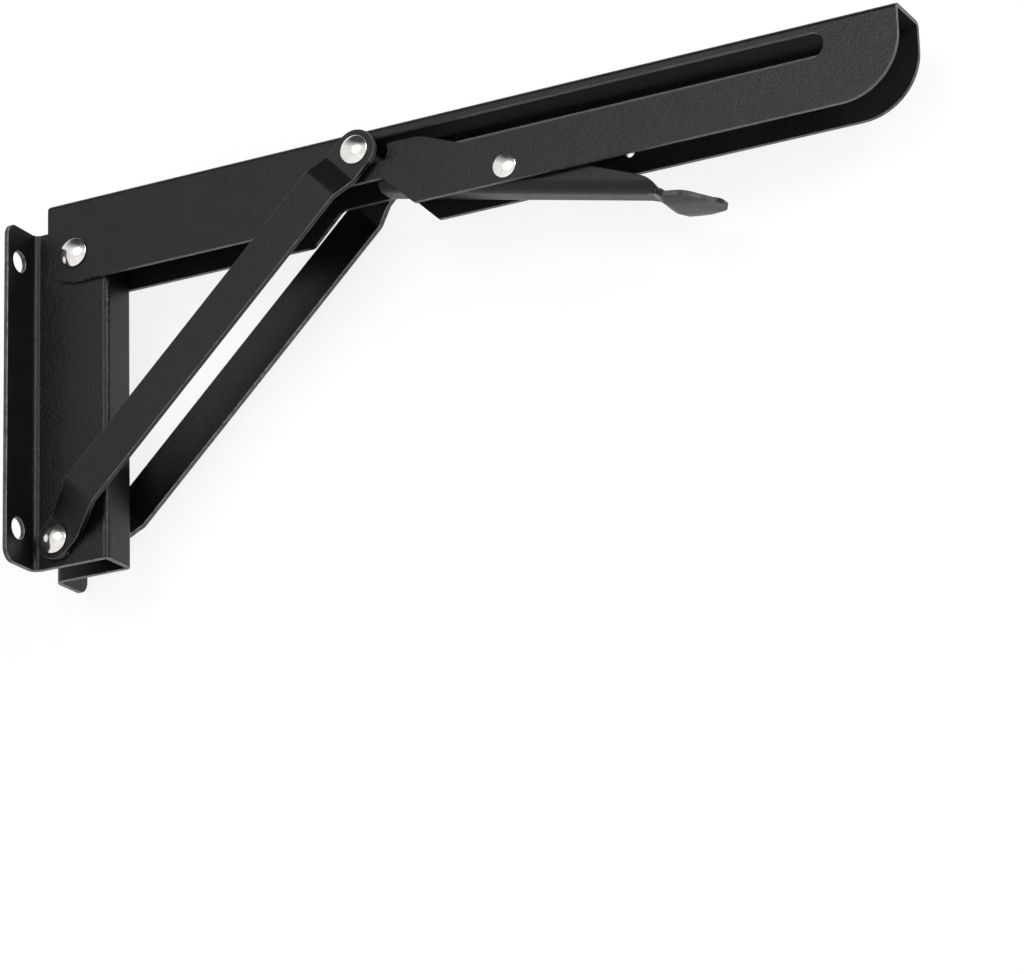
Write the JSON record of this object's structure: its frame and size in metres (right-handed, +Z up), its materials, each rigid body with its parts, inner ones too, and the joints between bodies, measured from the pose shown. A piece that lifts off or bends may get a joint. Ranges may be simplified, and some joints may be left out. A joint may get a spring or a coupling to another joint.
{
  "type": "drop leaf table bracket",
  "caption": "Folding black steel bracket: wall plate, slotted arm, twin strut bars sliding in the arm's slot and a squeeze lever that locks the arm level.",
  "frame": {"origin": "on the wall, in the middle of the wall plate's screw hole pattern", "axes": "+X leads away from the wall along the level arm, +Y runs across the bracket, +Z is up"},
  "size_m": [0.3072, 0.047, 0.124],
  "materials": {
    "plate_paint": "satin black powder coat",
    "arm_paint": "satin black powder coat",
    "bar_paint": "satin black powder coat",
    "lever_paint": "satin black powder coat",
    "rivet_nickel": "bright nickel plate",
    "spring_steel": "drawn wire",
    "bush_nylon": "moulded black nylon"
  },
  "bodies": {
    "wall_side": {"wall_plate": "plate_paint", "arm_pivot_rivet": "rivet_nickel", "strut_foot_rivet": "rivet_nickel"},
    "arm": {"arm_channel": "arm_paint", "lever_pivot_rivet": "rivet_nickel", "lever_spring": "spring_steel"},
    "struts": {"strut_bar_near": "bar_paint", "strut_bar_far": "bar_paint", "slide_rivet_near": "rivet_nickel", "slide_rivet_far": "rivet_nickel"},
    "slide_pin": {"slide_bush_near": "bush_nylon", "slide_bush_far": "bush_nylon"},
    "lever": {"release_lever": "lever_paint"}
  },
  "joints": [
    {"name": "arm_fold", "type": "hinge", "parent": "wall_side", "child": "arm", "pos_m": [0.0174, 0, 0.0478], "axis": [0, 1, 0], "range_deg": [0, 90]},
    {"name": "strut_swing", "type": "hinge", "parent": "wall_side", "child": "struts", "pos_m": [0.0104, 0, -0.0487], "axis": [0, 1, 0], "range_deg": [0, 126.77]},
    {"name": "pin_slide", "type": "slide", "parent": "arm", "child": "slide_pin", "axis": [1, 0, 0], "range_m": [0, 0.14508]},
    {"name": "lever_squeeze", "type": "hinge", "parent": "arm", "child": "lever", "pos_m": [0.1753, 0, 0.0431], "axis": [0, -1, 0], "range_deg": [0, 14], "stiffness_Nm_per_rad": 0.3, "springref_deg": -22.92, "deforming": ["lever_spring"]}
  ],
  "couplings": [
    {"joint": "strut_swing", "follows": "arm_fold", "ratio": 1.4084},
    {"joint": "pin_slide", "follows": "arm_fold", "m_per_rad": 0.092352}
  ]
}
